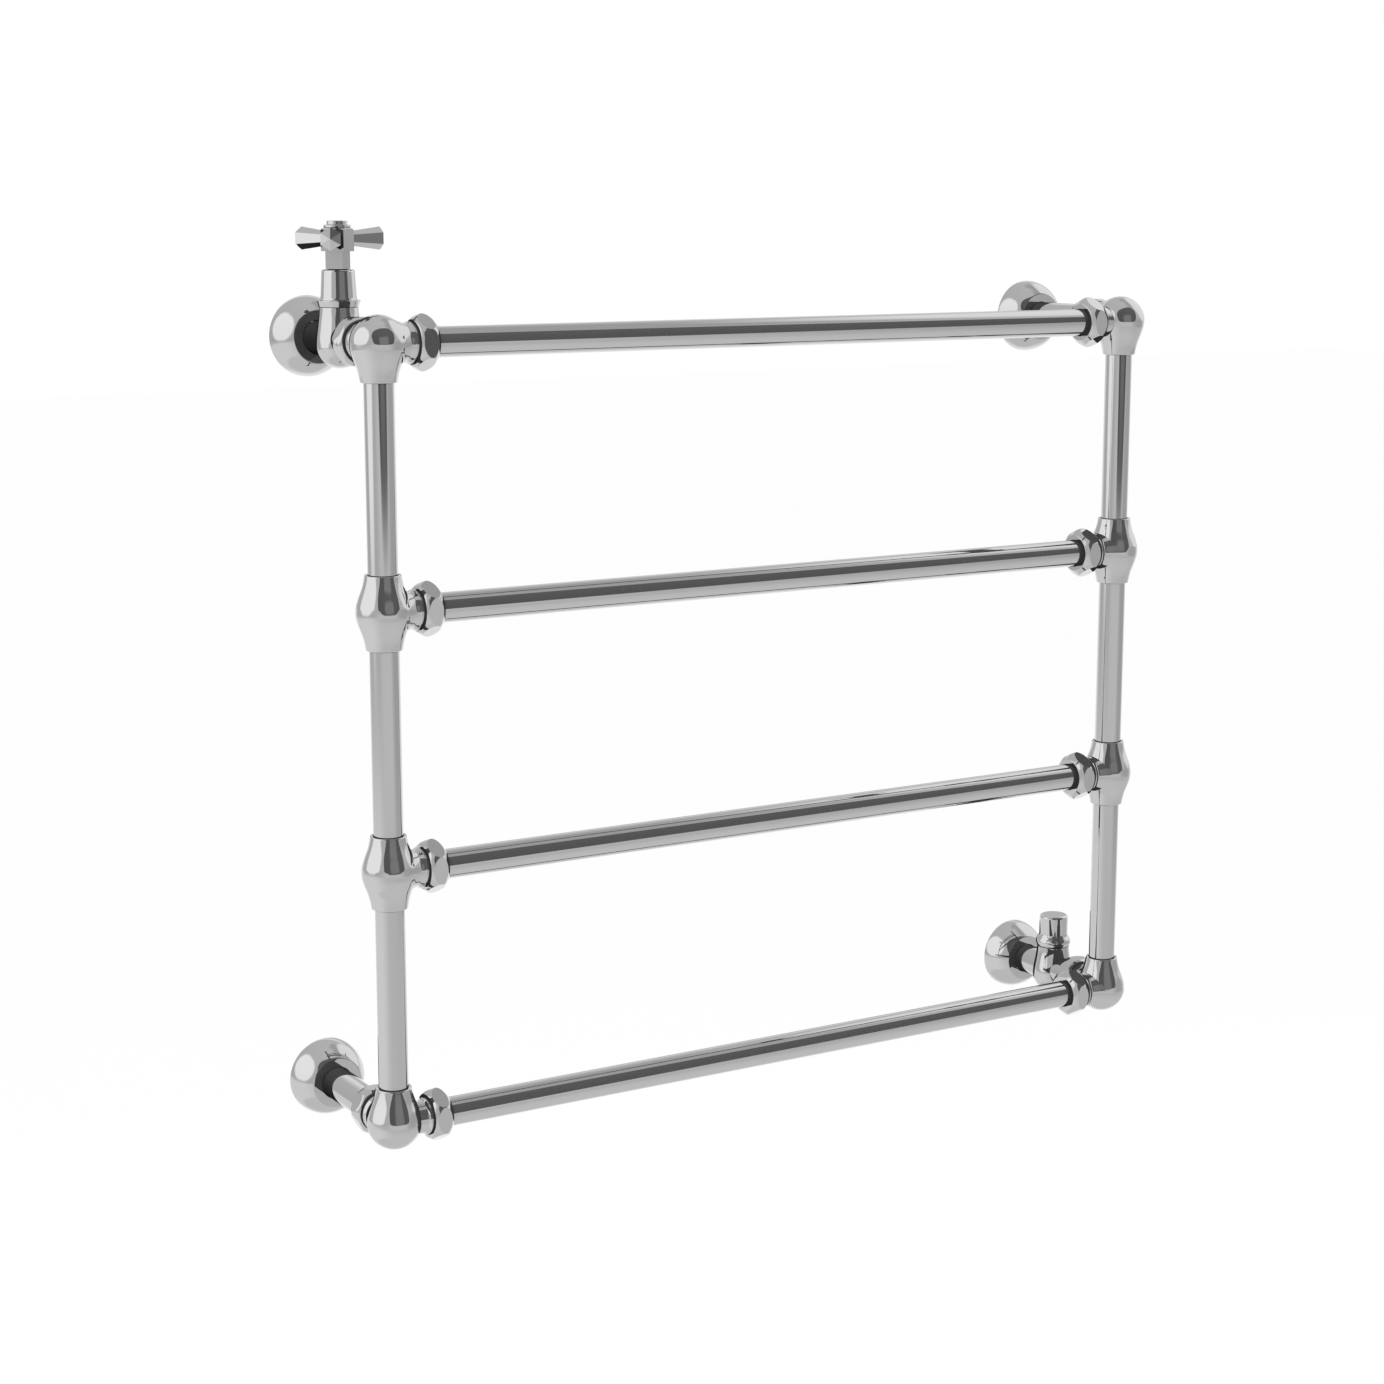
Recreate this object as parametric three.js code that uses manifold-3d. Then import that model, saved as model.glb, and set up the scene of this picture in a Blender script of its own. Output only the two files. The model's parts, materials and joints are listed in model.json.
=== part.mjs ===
// Wall-hung towel radiator: four rails between two uprights of short tubes and ball-shaped
// castings, with a crosshead valve at the top left and a lockshield valve at the bottom
// right. Millimetres, with X along the rails, +Y into the wall and +Z up. The origin lies on
// the wall's face, in the middle of the four fixings.

import * as THREE from 'three';
import { mergeVertices } from 'three/addons/utils/BufferGeometryUtils.js';
import Module from 'manifold-3d';

const wasm = await Module();
wasm.setup();

// Clearances
const fit = 0.3;              // between pieces that seat on each other
const running = 0.4;          // round a piece that turns or slides

// Frame
const axisWidth = 774;        // between the two uprights' axes
const railPitch = 220;
const railCount = 4;
const wallReach = 146;        // wall face to the rails' axis plane
const tubeRadius = 12.7;
const tubeWall = 1.5;

// Ball castings, measured from the ball's centre
const ballRadius = 23.5;
const flare = [[17.2, 22.2], [21.9, 9]];   // mouth to ball: radius, height
const mouthRadius = 15.6;     // mouth that holds an upright tube
const mouthReach = 31.5;      // to the mouth's rim
const lipRound = 1;           // rolled edge of the rim
const socketDepth = 17;       // upright tube inside its mouth
const waterway = 10;          // radius of the passages inside

// Unions, measured from the ball's centre
const threadRadius = 16.3;
const shoulderReach = 27.7;   // to the shoulder behind the nut
const nutGap = 2.4;           // bare thread between the shoulder and the nut
const threadLength = 10.3;    // shoulder to the spigot's face
const shoulderRise = 1;       // shoulder over the thread
const neckDrop = 0.3;         // neck under the thread
const neckFlare = 3;          // growth of the neck where it runs into the ball
const railSeat = 20;          // to the floor that stops a rail's end
const coneRun = 1.6;          // depth of the olive's seat in the spigot's mouth
const oliveRise = 2.7;
const oliveHalf = 2.8;        // half the length of an olive
const nutHood = 10.4;         // nut past the spigot's face
const railNutCrest = 7.3;     // crest of the nut over its thread
const wallNutCrest = 5.9;
const nutFlatDepth = 3.2;     // crest to the middle of a spanner flat
const collarLength = 3.5;     // collar that a wall nut grips
const stubRadius = 14.2;      // pipe between the wall and a union
const stubWall = 2;

// Wall fixings
const domeRadius = 34.5;
const domeDepth = 26;         // wall face to the flange's flat front
const domeWall = 2;
const plateRadius = 26;
const plateThickness = 5;
const bossRadius = 17.5;
const bossLength = 9;
const screwCircle = 21.8;
const screwHole = 2.3;
const screwCount = 3;

// Valves, measured from the crossing of the pipe's axis and the spindle's axis
const valveOffset = 76.5;     // rails' axis plane to the spindle's axis
const valveBelly = 19.9;      // radius of the body's round bottom
const bellyHeight = -4;       // and of its centre
const valveTopRadius = 16.2;
const crossBodyTop = 26.8;
const shieldBodyTop = 24.7;
const stubSeat = 12;          // spindle's axis to the floor that stops the wall stub
const seatHeight = -1;
const seatBore = 5;
const chamberRadius = 9.5;
const plugTravel = 3.75;
const plugStem = 6;
const plugHead = 8.2;
const plugHeadThickness = 3;
const plugStemDrop = 6.5;     // body's top face to the stem's top
const washerRadius = 7.5;
const washerThickness = 2.1;
const washerPin = 1.8;
const coneNose = 3;           // radius of the lockshield plug's nose
const coneEdge = 0.4;         // square edge over its cone
const headThread = 11.2;      // headwork's thread into the body
const headThreadLength = 12;
const headHexHeight = 8;
const glandRadius = 8.8;
const spindleThread = 3.6;
const spindleRadius = 4.5;
const spindleCollar = 5.8;
const spindleCollarLength = 3.4;
const collarLift = 4;         // body's top face to the spindle's collar

// Crosshead valve above its body
const crossHexFlats = 22;
const bonnetEdge = 18.2;      // knife edge of the collar
const bonnetEdgeLift = 4.4;
const bonnetCollar = 7.3;     // height of the collar
const bonnetFoot = 15.1;      // shell radius above the collar
const bonnetShoulder = 13.9;
const bonnetRound = 2.2;
const bonnetTop = 57.9;
const bonnetWall = 1.5;
const handleNeckFlats = 17.8;
const handleHubFlats = 24;
const handleChamfer = 1.5;
const armCount = 3;
const armHeight = 83.1;       // pipe's axis to the arms' axis
const hubBelow = 10.4;        // hub below the arms' axis
const hubAbove = 8.3;         // and above it
const armReach = 37.8;
const armPoint = 2.4;         // height of the low point on an arm's end
const armTip = 9.6;           // corner radius of the hexagon at an arm's end
const armRoot = 4.5;          // and where its taper meets the spindle's axis
const handleTurn = -2;        // degrees, as the handle is left standing
const spindleDrop = 9;        // hub's top to the spindle's end
const handleWeb = 2;          // metal between the spindle's end and the screw's head
const screwHead = 4.2;
const screwHeadLength = 2.2;
const screwShank = 2;
const screwReach = 8;         // screw inside the spindle
const capSpigot = 5.8;
const capSpigotLength = 3.6;
const capRing = 11.3;
const capRingHeight = 2.5;
const capButton = 8.6;
const capRound = 0.9;
const capButtonHeight = 3.6;

// Lockshield valve above its body
const shieldHexFlats = 20.4;
const shieldBarrelTop = 40;
const shieldSquare = 6.2;     // key square across its flats
const shieldSquareTop = 53;
const shieldBead = 17.5;
const shieldBeadHeight = 10.5;
const shieldCapRadius = 14.3;
const shieldCapTop = 57;
const shieldCapWall = 1.6;
const shieldCapRound = 2.6;

// Air vent in the top right ball, measured from the ball's centre
const ventThread = 4;
const ventHead = 6;
const ventSeat = 22.2;
const ventFace = 25;
const ventFoot = 12.5;
const ventPin = 1.9;

// Facets round a full turn
const tubeSteps = 12;
const ballSteps = 14;
const nutSteps = 12;
const domeSteps = 16;
const valveSteps = 12;
const boreSteps = 8;
const holeSteps = 6;

const over = 1;               // a cutter's run past the face that it opens
const halfWidth = axisWidth / 2;
const railHeights = Array.from({ length: railCount }, (_, i) => ((railCount - 1) / 2 - i) * railPitch);
const socketFloor = mouthReach - socketDepth;
const threadReach = shoulderReach + threadLength;
const handleHubTop = armHeight + hubAbove;
const handleNeckTop = armHeight - hubBelow;
const spindleTop = handleHubTop - spindleDrop;
const oliveSlope = oliveRise / oliveHalf;
const oliveMiddle = threadReach - coneRun + fit / 2 + oliveHalf;
const valveY = valveOffset - wallReach;
const washerFloor = seatHeight + fit + plugTravel;
const plugFloor = washerFloor + washerThickness + fit;
const plugShoulder = plugFloor + plugHeadThickness;
const spindleFoot = plugShoulder + 1.5;

// ---- solids ----

function toSolid(geometry) {
  const bare = geometry.clone();
  bare.deleteAttribute('normal');
  bare.deleteAttribute('uv');
  const merged = mergeVertices(bare, 1e-4);
  const index = merged.index.array;
  const triangles = [];
  for (let i = 0; i < index.length; i += 3) {
    const [a, b, c] = index.slice(i, i + 3);
    if (a !== b && b !== c && c !== a) triangles.push(a, b, c);
  }
  return new wasm.Manifold(new wasm.Mesh({
    numProp: 3,
    vertProperties: new Float32Array(merged.attributes.position.array),
    triVerts: new Uint32Array(triangles),
  }));
}

function toGeometry(solid) {
  const mesh = solid.getMesh();
  const geometry = new THREE.BufferGeometry();
  geometry.setAttribute('position', new THREE.BufferAttribute(mesh.vertProperties, 3));
  geometry.setIndex(new THREE.BufferAttribute(mesh.triVerts, 1));
  geometry.computeVertexNormals();
  return geometry;
}

const join = (first, ...others) => others.reduce((sum, solid) => sum.add(solid), first);
const cut = (first, ...others) => others.reduce((rest, solid) => rest.subtract(solid), first);

// A section of [radius, height] points, anticlockwise, turned round Z. It starts and ends
// on the axis, or closes on itself. The result's +Z is then aimed along a direction.
function turn(section, steps, direction = [0, 0, 1], at = [0, 0, 0]) {
  const points = section.map(([radius, height]) => new THREE.Vector2(radius, height));
  if (section[0][0] > 0) points.push(points[0].clone());
  const geometry = new THREE.LatheGeometry(points, steps).rotateX(Math.PI / 2);
  const aim = new THREE.Quaternion();
  aim.setFromUnitVectors(new THREE.Vector3(0, 0, 1), new THREE.Vector3(...direction));
  return toSolid(geometry.applyQuaternion(aim).translate(...at));
}

const rod = (radius, from, to, steps, direction, at) =>
  turn([[0, from], [radius, from], [radius, to], [0, to]], steps, direction, at);

// Prism with flats facing +X and -X, turned by a number of degrees.
function prism(sides, acrossFlats, from, to, degrees = 0) {
  const corner = acrossFlats / 2 / Math.cos(Math.PI / sides);
  const points = [[0, from], [corner, from], [corner, to], [0, to]].map((p) => new THREE.Vector2(...p));
  const geometry = new THREE.LatheGeometry(points, sides).rotateX(Math.PI / 2);
  if (sides === 4) geometry.rotateZ(Math.PI / 4);
  return toSolid(geometry.rotateZ(THREE.MathUtils.degToRad(degrees)));
}

// Points of an arc round [0, centre], from one elevation in degrees to another.
function arc(radius, from, to, steps, centre = 0) {
  return Array.from({ length: steps + 1 }, (_, i) => {
    const angle = THREE.MathUtils.degToRad(from + (to - from) * i / steps);
    return [radius * Math.cos(angle), centre + radius * Math.sin(angle)];
  });
}

// ---- ball castings ----

// Rim and flare of a mouth that opens upwards or downwards, from its rim to the ball.
const mouth = (side) => [
  [mouthRadius - lipRound, mouthReach], [mouthRadius, mouthReach - 1.6 * lipRound], ...flare,
].map(([radius, height]) => [radius, side * height]);

const teeBody = () => turn([
  [0, -mouthReach], ...mouth(-1), [ballRadius, 0], ...mouth(1).reverse(), [0, mouthReach],
], ballSteps);

// Mouth below and a round ball above.
const cornerBody = () => turn([
  [0, -mouthReach], ...mouth(-1), ...arc(ballRadius, 0, 90, 3).slice(0, -1), [0, ballRadius],
], ballSteps);

// Neck, shoulder and threaded spigot.
function spigot(direction) {
  const neck = threadRadius - neckDrop;
  const shoulder = threadRadius + shoulderRise;
  return turn([
    [0, ballRadius / 2], [neck + neckFlare, ballRadius / 2], [neck, shoulderReach - 6],
    [shoulder, shoulderReach - 1.5], [shoulder, shoulderReach],
    [threadRadius, shoulderReach], [threadRadius, threadReach], [0, threadReach],
  ], tubeSteps, direction);
}

// Hole for a rail's end, with the cone in its mouth that the olive seats in. The wall side
// has the same hole, so one casting serves all four corners.
function socket(direction) {
  const hole = tubeRadius + fit;
  const mouth = hole + coneRun * oliveSlope;
  return turn([
    [0, railSeat], [hole, railSeat], [hole, threadReach - coneRun], [mouth, threadReach],
    [mouth, threadReach + over], [0, threadReach + over],
  ], tubeSteps, direction);
}

const tubeSocket = (side) =>
  rod(tubeRadius + fit, socketFloor, mouthReach + over, tubeSteps, [0, 0, side]);

function teeCasting() {
  const along = [1, 0, 0];
  return cut(
    join(teeBody(), spigot(along)),
    tubeSocket(1), tubeSocket(-1), socket(along),
    rod(waterway, -socketFloor - over, socketFloor + over, holeSteps),
    rod(waterway, 0, railSeat + over, holeSteps, along),
  );
}

function cornerCasting() {
  const sides = [[1, 0, 0], [0, 1, 0]];
  return cut(
    join(cornerBody(), ...sides.map(spigot)),
    tubeSocket(-1), ...sides.map(socket),
    rod(waterway, -waterway, socketFloor + over, holeSteps, [0, 0, -1]),
    ...sides.map((side) => rod(waterway, 0, railSeat + over, holeSteps, side)),
  );
}

// The tapped hole for the air vent, opposite the casting's wall side when it is turned to
// stand at the top right.
const ventHole = () => join(
  rod(ventThread + fit, 0, ballRadius, boreSteps, [0, -1, 0]),
  rod(ventHead + fit, ventSeat, ballRadius + over, boreSteps, [0, -1, 0]),
);

const ventPlug = () => turn([
  [ventPin + running, ventFoot], [ventThread, ventFoot], [ventThread, ventSeat + fit],
  [ventHead, ventSeat + fit], [ventHead, ventFace], [ventPin + running, ventFace],
], boreSteps);

const ventScrew = () => turn([
  [0, ventFoot], [ventPin, ventFoot + 1.5], [ventPin, ventFace - 0.8], [0, ventFace - 0.8],
], boreSteps);

// ---- unions ----

// Turned nut with six spanner flats sunk in its crest, from its shoulder outwards, with a
// bore given from its outer end to its inner end.
function unionNut(crestRise, bore) {
  const crest = threadRadius + crestRise;
  const flat = crest - nutFlatDepth;
  const from = shoulderReach + nutGap;
  const to = threadReach + nutHood;
  const middle = (from + to) / 2;
  const blank = turn([
    [0, from], [flat - 1.7, from], [crest, middle - 1.6], [crest, middle + 1.6],
    [flat, to - 3.5], [flat - 3.2, to], [0, to],
  ], nutSteps);
  const hollow = turn([
    [0, from - over], [threadRadius + fit, from - over], ...bore, [bore.at(-1)[0], to + over],
    [0, to + over],
  ], tubeSteps);
  return cut(blank.intersect(prism(6, 2 * flat, from - over, to + over, 30)), hollow);
}

// The rail nut presses the olive with a cone.
function railNut() {
  const hole = tubeRadius + fit;
  const wide = threadRadius + fit;
  const coneEnd = oliveMiddle + oliveHalf + fit / 2;
  return unionNut(railNutCrest, [[wide, coneEnd - (wide - hole) / oliveSlope], [hole, coneEnd]]);
}

// The wall nut grips a square collar.
function wallNut() {
  const step = threadReach + fit + collarLength + fit;
  return unionNut(wallNutCrest, [[threadRadius + fit, step], [stubRadius + fit, step]]);
}

// ---- tubes ----

function uprightTube() {
  const half = railPitch / 2 - socketFloor - fit;
  return turn([
    [tubeRadius - tubeWall, -half], [tubeRadius, -half], [tubeRadius, half],
    [tubeRadius - tubeWall, half],
  ], tubeSteps);
}

// Rail with an olive crimped on near each end.
function rail() {
  const half = halfWidth - railSeat - fit;
  const olive = halfWidth - oliveMiddle;
  const peak = tubeRadius + oliveRise;
  return turn([
    [tubeRadius - tubeWall, -half], [tubeRadius, -half],
    [tubeRadius, -olive - oliveHalf], [peak, -olive], [tubeRadius, -olive + oliveHalf],
    [tubeRadius, olive - oliveHalf], [peak, olive], [tubeRadius, olive + oliveHalf],
    [tubeRadius, half], [tubeRadius - tubeWall, half],
  ], tubeSteps);
}

// ---- wall fixings, from the wall outwards ----

function flange() {
  const front = THREE.MathUtils.radToDeg(Math.asin(domeDepth / domeRadius));
  const inner = domeRadius - domeWall;
  const ceiling = THREE.MathUtils.radToDeg(Math.asin((domeDepth - domeWall) / inner));
  const hole = stubRadius + running;
  return turn([
    ...arc(domeRadius, 0, front, 3), [hole, domeDepth], [hole, domeDepth - domeWall],
    ...arc(inner, ceiling, 0, 1),
  ], domeSteps);
}

// Screwed plate with the pipe stub brazed into its boss.
function bracket(length, collared) {
  const bore = stubRadius - stubWall;
  const neck = length - collarLength;
  const collar = [[stubRadius, neck], [threadRadius, neck], [threadRadius, length]];
  const end = collared ? collar : [[stubRadius, length]];
  const body = turn([
    [bore, 0], [plateRadius, 0], [plateRadius, plateThickness], [bossRadius, plateThickness],
    [bossRadius, bossLength], [stubRadius, bossLength], ...end, [bore, length],
  ], tubeSteps);
  const holes = Array.from({ length: screwCount }, (_, i) => {
    const angle = Math.PI * (1 / 2 + 2 * i / screwCount);
    const at = [screwCircle * Math.cos(angle), screwCircle * Math.sin(angle), 0];
    return rod(screwHole, -over, plateThickness + over, holeSteps, [0, 0, 1], at);
  });
  return cut(body, ...holes);
}

// ---- valves ----

// Body in line with the pipe, open at the top for its headwork.
function valveBody(bodyTop) {
  const tail = valveOffset - threadReach - fit;
  const toWall = [0, 1, 0];
  const toBall = [0, -1, 0];
  const inletHeight = seatHeight - seatBore - 2;
  return cut(
    join(
      turn([
        [0, bellyHeight - valveBelly], ...arc(valveBelly, -90, 0, 4, bellyHeight).slice(1),
        [valveTopRadius, bodyTop], [0, bodyTop],
      ], valveSteps),
      turn([
        [0, 0], [stubRadius, 0], [stubRadius, tail - collarLength],
        [threadRadius, tail - collarLength], [threadRadius, tail], [0, tail],
      ], tubeSteps, toBall),
    ),
    rod(stubRadius + fit, stubSeat, valveBelly + over, tubeSteps, toWall),
    rod(seatBore, 0, stubSeat + over, holeSteps, toWall, [0, 0, inletHeight]),
    rod(seatBore, inletHeight, seatHeight + over, holeSteps),
    rod(chamberRadius, seatHeight, bodyTop - over, boreSteps),
    rod(headThread + fit, bodyTop - headThreadLength, bodyTop + over, boreSteps),
    rod(seatBore, 0, stubSeat + over, holeSteps, toBall, [0, 0, seatHeight + seatBore]),
    rod(waterway, stubSeat, tail + over, holeSteps, toBall),
  );
}

// Thread, hexagon and gland barrel, bored for the spindle and for the plug's stem.
function headwork(bodyTop, hexFlats, barrelTop) {
  const thread = bodyTop - headThreadLength + fit;
  const hexTop = bodyTop + fit + headHexHeight;
  const guideTop = bodyTop + collarLift + spindleCollarLength + fit;
  return cut(
    join(
      rod(headThread, thread, bodyTop + over, boreSteps),
      prism(6, hexFlats, bodyTop + fit, hexTop),
      rod(glandRadius, hexTop - over, barrelTop, boreSteps),
    ),
    rod(plugStem + running, thread - over, guideTop, boreSteps),
    rod(spindleRadius + running, guideTop - over, barrelTop + over, boreSteps),
  );
}

// Spindle that turns without rising: thread for the plug, thrust collar and barrel.
function spindle(bodyTop, top) {
  const collar = bodyTop + collarLift;
  return turn([
    [0, spindleFoot], [spindleThread, spindleFoot], [spindleThread, collar],
    [spindleCollar, collar], [spindleCollar, collar + spindleCollarLength],
    [spindleRadius, collar + spindleCollarLength], [spindleRadius, top], [0, top],
  ], boreSteps);
}

// Plug that the spindle's thread draws up and down.
function plug(bodyTop, nose) {
  const stemTop = bodyTop - plugStemDrop;
  return cut(
    turn([
      ...nose, [plugHead, plugFloor], [plugHead, plugShoulder], [plugStem, plugShoulder],
      [plugStem, stemTop], [0, stemTop],
    ], boreSteps),
    rod(spindleThread + running, spindleFoot - over, stemTop + over, boreSteps),
  );
}

function jumperValve() {
  const pinFoot = washerFloor + 0.5;
  return plug(crossBodyTop, [[0, pinFoot], [washerPin, pinFoot], [washerPin, plugFloor]]);
}

const jumperWasher = () => turn([
  [washerPin + fit, washerFloor], [washerRadius, washerFloor],
  [washerRadius, washerFloor + washerThickness], [washerPin + fit, washerFloor + washerThickness],
], boreSteps);

const lockshieldPlug = () =>
  plug(shieldBodyTop, [[0, washerFloor], [coneNose, washerFloor], [plugHead, plugFloor - coneEdge]]);

const crossSpindle = () => cut(
  spindle(crossBodyTop, spindleTop),
  rod(screwShank + fit, spindleTop - screwReach - over, spindleTop + over, boreSteps),
);

const lockshieldSpindle = () => join(
  spindle(shieldBodyTop, shieldBarrelTop + 0.5),
  prism(4, shieldSquare, shieldBarrelTop, shieldSquareTop),
);

// ---- crosshead valve's shell and handle ----

function bonnet() {
  const foot = crossBodyTop + fit;
  const hole = glandRadius + running;
  return turn([
    [bonnetEdge - 1.4, foot], [bonnetEdge, foot + bonnetEdgeLift], [bonnetFoot, foot + bonnetCollar],
    [bonnetShoulder, bonnetTop - bonnetRound], [bonnetShoulder - bonnetRound, bonnetTop],
    [hole, bonnetTop], [hole, bonnetTop - bonnetWall],
    [bonnetShoulder - bonnetWall - 0.6, bonnetTop - bonnetWall],
    [bonnetFoot - bonnetWall, foot + bonnetCollar], [bonnetFoot - bonnetWall, foot],
  ], valveSteps);
}

// Hexagonal neck and hub, and three six-sided arms that flare to low points.
function crossHandle() {
  const hubCorner = handleHubFlats / 2 / Math.cos(Math.PI / 6);
  const hub = prism(6, handleHubFlats, handleNeckTop, handleHubTop);
  const hubTurned = turn([
    [0, handleNeckTop - over], [hubCorner + over, handleNeckTop - over],
    [hubCorner + over, handleHubTop - handleChamfer - over],
    [hubCorner - handleChamfer, handleHubTop], [0, handleHubTop],
  ], valveSteps);
  const taper = [[0, 0], [armRoot, 0], [armTip, armReach], [0, armReach + armPoint]];
  const arms = Array.from({ length: armCount }, (_, i) => {
    const geometry = new THREE.LatheGeometry(taper.map((p) => new THREE.Vector2(...p)), 6);
    return toSolid(geometry.rotateZ(Math.PI * (2 * i / armCount - 1 / 2)).translate(0, 0, armHeight));
  });
  const recess = spindleTop + fit + handleWeb;
  return cut(
    join(
      prism(6, handleNeckFlats, bonnetTop + fit, handleNeckTop + over),
      hub.intersect(hubTurned),
      ...arms,
    ),
    rod(spindleRadius + fit, bonnetTop, spindleTop + fit, boreSteps),
    rod(screwShank + fit, spindleTop, recess + over, boreSteps),
    rod(capSpigot + fit, recess, handleHubTop + over, valveSteps),
  );
}

function handleScrew() {
  const head = spindleTop + fit + handleWeb + fit;
  return turn([
    [0, spindleTop - screwReach], [screwShank, spindleTop - screwReach], [screwShank, head],
    [screwHead, head], [screwHead, head + screwHeadLength], [0, head + screwHeadLength],
  ], boreSteps);
}

function handleCap() {
  const foot = handleHubTop + fit;
  const ringTop = foot + capRingHeight;
  const buttonTop = ringTop + capButtonHeight;
  return turn([
    [0, foot - capSpigotLength], [capSpigot, foot - capSpigotLength], [capSpigot, foot],
    [capRing, foot], [capRing, ringTop - capRound], [capRing - capRound, ringTop],
    [capButton, ringTop],
    [capButton, buttonTop - capRound], [capButton - capRound, buttonTop], [0, buttonTop],
  ], valveSteps);
}

// ---- lockshield valve's cap ----

function lockshieldCap() {
  const foot = shieldBodyTop + fit;
  const beadTop = foot + shieldBeadHeight;
  const inner = shieldCapRadius - shieldCapWall;
  return turn([
    [inner, foot], [shieldBead - 1.6, foot], [shieldBead, foot + 3], [shieldBead, foot + 6.5],
    [shieldCapRadius, beadTop], [shieldCapRadius, shieldCapTop - shieldCapRound],
    [shieldCapRadius - shieldCapRound, shieldCapTop], [0, shieldCapTop],
    [0, shieldCapTop - shieldCapWall], [inner, shieldCapTop - shieldCapWall - 1],
  ], valveSteps);
}

// ---- assembly ----

const finishes = {
  chrome: { color: 0xd9dcdf, roughness: 0.08, metalness: 1 },
  brass: { color: 0xc8a45a, roughness: 0.32, metalness: 1 },
  steel: { color: 0x9a9da0, roughness: 0.35, metalness: 1 },
  rubber: { color: 0x1c1c1c, roughness: 0.85, metalness: 0 },
};

const radiator = new THREE.Group();
radiator.name = 'radiator';

function place(name, solid, finish, position, quaternion) {
  const mesh = new THREE.Mesh(toGeometry(solid), new THREE.MeshStandardMaterial(finishes[finish]));
  mesh.name = name;
  mesh.position.set(...position);
  if (quaternion) mesh.quaternion.copy(quaternion);
  radiator.add(mesh);
  return mesh;
}

const euler = (x, y, z) => new THREE.Quaternion().setFromEuler(new THREE.Euler(x, y, z));
const towardX = (side) => euler(0, side * Math.PI / 2, 0);
const intoWall = euler(-Math.PI / 2, 0, 0);
const outOfWall = euler(Math.PI / 2, 0, 0);

const sides = { left: -1, right: 1 };
const levels = ['top', 'upper', 'lower', 'bottom'];
const bays = ['top', 'middle', 'bottom'];

// Turns that stand the one corner casting in each corner.
const cornerTurns = {
  left_top: euler(0, 0, 0),
  right_top: euler(0, 0, Math.PI / 2),
  left_bottom: euler(Math.PI, 0, -Math.PI / 2),
  right_bottom: euler(Math.PI, 0, Math.PI),
};

const shapes = {
  tee: teeCasting(),
  corner: cornerCasting(),
  rail: rail(),
  upright: uprightTube(),
  railNut: railNut(),
  wallNut: wallNut(),
  flange: flange(),
  unionBracket: bracket(wallReach - threadReach - fit, true),
  valveBracket: bracket(wallReach - valveOffset - stubSeat - fit, false),
};

levels.forEach((level, i) => {
  place(`rail_${level}`, shapes.rail, 'chrome', [0, -wallReach, railHeights[i]], towardX(1));
});

for (const [side, sign] of Object.entries(sides)) {
  const x = sign * halfWidth;
  bays.forEach((bay, i) => {
    const middle = [x, -wallReach, railHeights[i] - railPitch / 2];
    place(`upright_${side}_${bay}`, shapes.upright, 'chrome', middle);
  });
  levels.forEach((level, i) => {
    const corner = cornerTurns[`${side}_${level}`];
    const at = [x, -wallReach, railHeights[i]];
    const vented = side === 'right' && level === 'top';
    if (corner) {
      const solid = vented ? cut(shapes.corner, ventHole()) : shapes.corner;
      place(`corner_${side}_${level}`, solid, 'chrome', at, corner);
    } else {
      place(`tee_${side}_${level}`, shapes.tee, 'chrome', at, euler(0, 0, sign > 0 ? Math.PI : 0));
    }
    place(`rail_nut_${side}_${level}`, shapes.railNut, 'chrome', at, towardX(-sign));
    if (!corner) return;
    const valved = (side === 'left') === (level === 'top');
    place(`wall_nut_${side}_${level}`, shapes.wallNut, 'chrome', at, intoWall);
    place(`wall_flange_${side}_${level}`, shapes.flange, 'chrome', [x, 0, at[2]], outOfWall);
    place(`wall_bracket_${side}_${level}`, valved ? shapes.valveBracket : shapes.unionBracket, 'chrome',
      [x, 0, at[2]], outOfWall);
  });
}

const ventAt = [halfWidth, -wallReach, railHeights[0]];
place('vent_plug', ventPlug(), 'chrome', ventAt, towardX(1));
place('vent_screw', ventScrew(), 'chrome', ventAt, towardX(1));

const crossAt = [-halfWidth, valveY, railHeights[0]];
const handleStands = euler(0, 0, THREE.MathUtils.degToRad(handleTurn));
place('valve_body', valveBody(crossBodyTop), 'chrome', crossAt);
place('valve_headwork', headwork(crossBodyTop, crossHexFlats, bonnetTop - 0.5), 'brass', crossAt);
place('valve_bonnet', bonnet(), 'chrome', crossAt);
place('valve_spindle', crossSpindle(), 'brass', crossAt, handleStands);
place('jumper_valve', jumperValve(), 'brass', crossAt);
place('jumper_washer', jumperWasher(), 'rubber', crossAt);
place('cross_handle', crossHandle(), 'chrome', crossAt, handleStands);
place('handle_screw', handleScrew(), 'steel', crossAt, handleStands);
place('handle_cap', handleCap(), 'chrome', crossAt, handleStands);

const shieldAt = [halfWidth, valveY, railHeights[railCount - 1]];
place('lockshield_body', valveBody(shieldBodyTop), 'chrome', shieldAt);
place('lockshield_headwork', headwork(shieldBodyTop, shieldHexFlats, shieldBarrelTop), 'brass', shieldAt);
place('lockshield_spindle', lockshieldSpindle(), 'brass', shieldAt);
place('lockshield_plug', lockshieldPlug(), 'brass', shieldAt);
place('lockshield_cap', lockshieldCap(), 'chrome', shieldAt);

export default radiator;
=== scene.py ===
import json
from math import asin, cos, degrees, hypot, pi, radians, sin

import bpy
from mathutils import Euler, Matrix, Vector

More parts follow.
